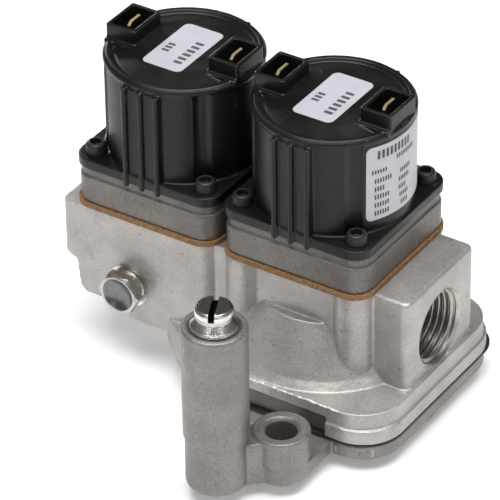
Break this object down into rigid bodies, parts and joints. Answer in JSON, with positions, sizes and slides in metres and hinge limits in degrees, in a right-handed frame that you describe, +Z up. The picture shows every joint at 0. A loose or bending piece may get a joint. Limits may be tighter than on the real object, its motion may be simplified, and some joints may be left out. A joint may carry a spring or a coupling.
{
  "type": "dual solenoid gas valve",
  "caption": "Cast gas control valve with two solenoid coils side by side, threaded pipe ports, a diaphragm cover and a pressure regulator tower with a slotted cap.",
  "frame": {"origin": "on the axis of the outlet port, 2 mm inside its mouth, where the full thread starts", "axes": "+X out of the outlet port, along the line of the two ports; +Z up, out of the solenoid terminals; -Y towards the regulator tower"},
  "size_m": [0.107, 0.0978, 0.093],
  "materials": {
    "casting": "as cast, fine grain, satin",
    "dark_casting": "as cast, slightly darker, satin",
    "cover_plastic": "black glass-filled moulding, semi-gloss",
    "bobbin": "natural nylon",
    "copper": "enamelled copper wire",
    "terminal": "bare brass",
    "nickel": "turned and nickel plated",
    "bright_steel": "turned stainless steel",
    "zinc_steel": "zinc plated",
    "spring_steel": "drawn spring wire",
    "black_steel": "black oxide",
    "stem_alloy": "turned",
    "rubber": "nitrile rubber",
    "fibre": "brown fibre gasket sheet",
    "label": "matt film label"
  },
  "bodies": {
    "valve_body": {"bobbin_inlet": "bobbin", "bobbin_outlet": "bobbin", "bonnet_gasket_inlet": "fibre", "bonnet_gasket_outlet": "fibre", "bonnet_inlet": "dark_casting", "bonnet_outlet": "dark_casting", "bonnet_screws_inlet": "black_steel", "bonnet_screws_outlet": "black_steel", "bottom_cover": "casting", "coil_cover_inlet": "cover_plastic", "coil_cover_outlet": "cover_plastic", "core_tube_inlet": "bright_steel", "core_tube_outlet": "bright_steel", "diaphragm": "rubber", "flux_frame_inlet": "zinc_steel", "flux_frame_outlet": "zinc_steel", "flux_washer_inlet": "zinc_steel", "flux_washer_outlet": "zinc_steel", "inlet_screen": "bright_steel", "lower_screws": "black_steel", "main_body": "casting", "main_spring": "spring_steel", "paper_gasket": "fibre", "plunger_spring_inlet": "spring_steel", "plunger_spring_outlet": "spring_steel", "pole_piece_inlet": "bright_steel", "pole_piece_outlet": "bright_steel", "rating_label": "label", "regulator_spring": "spring_steel", "spring_cup": "zinc_steel", "terminal_common_inlet": "terminal", "terminal_common_outlet": "terminal", "terminal_line_inlet": "terminal", "terminal_line_outlet": "terminal", "top_label_inlet": "label", "top_label_outlet": "label", "vent_disc": "terminal", "winding_inlet": "copper", "winding_outlet": "copper"},
    "plunger_unit_inlet": {"plunger_inlet": "bright_steel", "plunger_seal_inlet": "rubber"},
    "plunger_unit_outlet": {"plunger_outlet": "bright_steel", "plunger_seal_outlet": "rubber"},
    "main_valve_unit": {"main_valve": "stem_alloy", "main_valve_seal": "rubber", "diaphragm_plate_upper": "zinc_steel", "diaphragm_plate_lower": "zinc_steel", "stem_nut": "zinc_steel"},
    "tap_seal_ring": {"tap_plug_washer": "nickel"},
    "tap_plug": {"tap_plug": "nickel"},
    "cap_seal_ring": {"cap_washer": "nickel"},
    "regulator_cap": {"regulator_cap": "nickel"},
    "spring_seat": {"spring_seat": "zinc_steel"},
    "adjusting_screw": {"adjusting_screw": "bobbin"},
    "regulator_valve_unit": {"regulator_valve": "zinc_steel", "regulator_pad": "rubber"}
  },
  "joints": [
    {"name": "plunger_lift_inlet", "type": "slide", "parent": "valve_body", "child": "plunger_unit_inlet", "axis": [0, 0, 1], "range_m": [0, 0.0024], "stiffness_N_per_m": 400, "springref_m": -0.002, "deforming": ["plunger_spring_inlet"]},
    {"name": "plunger_lift_outlet", "type": "slide", "parent": "valve_body", "child": "plunger_unit_outlet", "axis": [0, 0, 1], "range_m": [0, 0.0024], "stiffness_N_per_m": 400, "springref_m": -0.002, "deforming": ["plunger_spring_outlet"]},
    {"name": "main_valve_lift", "type": "slide", "parent": "valve_body", "child": "main_valve_unit", "axis": [0, 0, 1], "range_m": [0, 0.0022], "stiffness_N_per_m": 300, "springref_m": -0.003, "deforming": ["main_spring", "diaphragm"]},
    {"name": "tap_plug_travel", "type": "slide", "parent": "valve_body", "child": "tap_seal_ring", "axis": [0, -1, 0], "range_m": [0, 0.0094]},
    {"name": "tap_plug_turn", "type": "hinge", "parent": "tap_seal_ring", "child": "tap_plug", "pos_m": [-0.0816, -0.0253, -0.0041], "axis": [0, -1, 0], "range_deg": [0, 3616.46]},
    {"name": "cap_travel", "type": "slide", "parent": "valve_body", "child": "cap_seal_ring", "axis": [0, 0, 1], "range_m": [0, 0.0061]},
    {"name": "cap_turn", "type": "hinge", "parent": "cap_seal_ring", "child": "regulator_cap", "pos_m": [-0.0297, -0.0591, 0.0243], "axis": [0, 0, 1], "range_deg": [0, 2214]},
    {"name": "spring_seat_travel", "type": "slide", "parent": "valve_body", "child": "spring_seat", "axis": [0, 0, 1], "range_m": [-0.004, 0.003], "deforming": ["regulator_spring"]},
    {"name": "adjusting_turn", "type": "hinge", "parent": "spring_seat", "child": "adjusting_screw", "pos_m": [-0.0297, -0.0591, 0.0083], "axis": [0, 0, 1], "range_deg": [-1458, 1098]},
    {"name": "regulator_valve_lift", "type": "slide", "parent": "valve_body", "child": "regulator_valve_unit", "axis": [0, 0, 1], "range_m": [-0.0007, 0.001], "stiffness_N_per_m": 500}
  ],
  "couplings": [
    {"joint": "tap_plug_turn", "follows": "tap_plug_travel", "rad_per_m": 6679.3},
    {"joint": "cap_turn", "follows": "cap_travel", "rad_per_m": 6283.2},
    {"joint": "adjusting_turn", "follows": "spring_seat_travel", "rad_per_m": 6283.2}
  ]
}
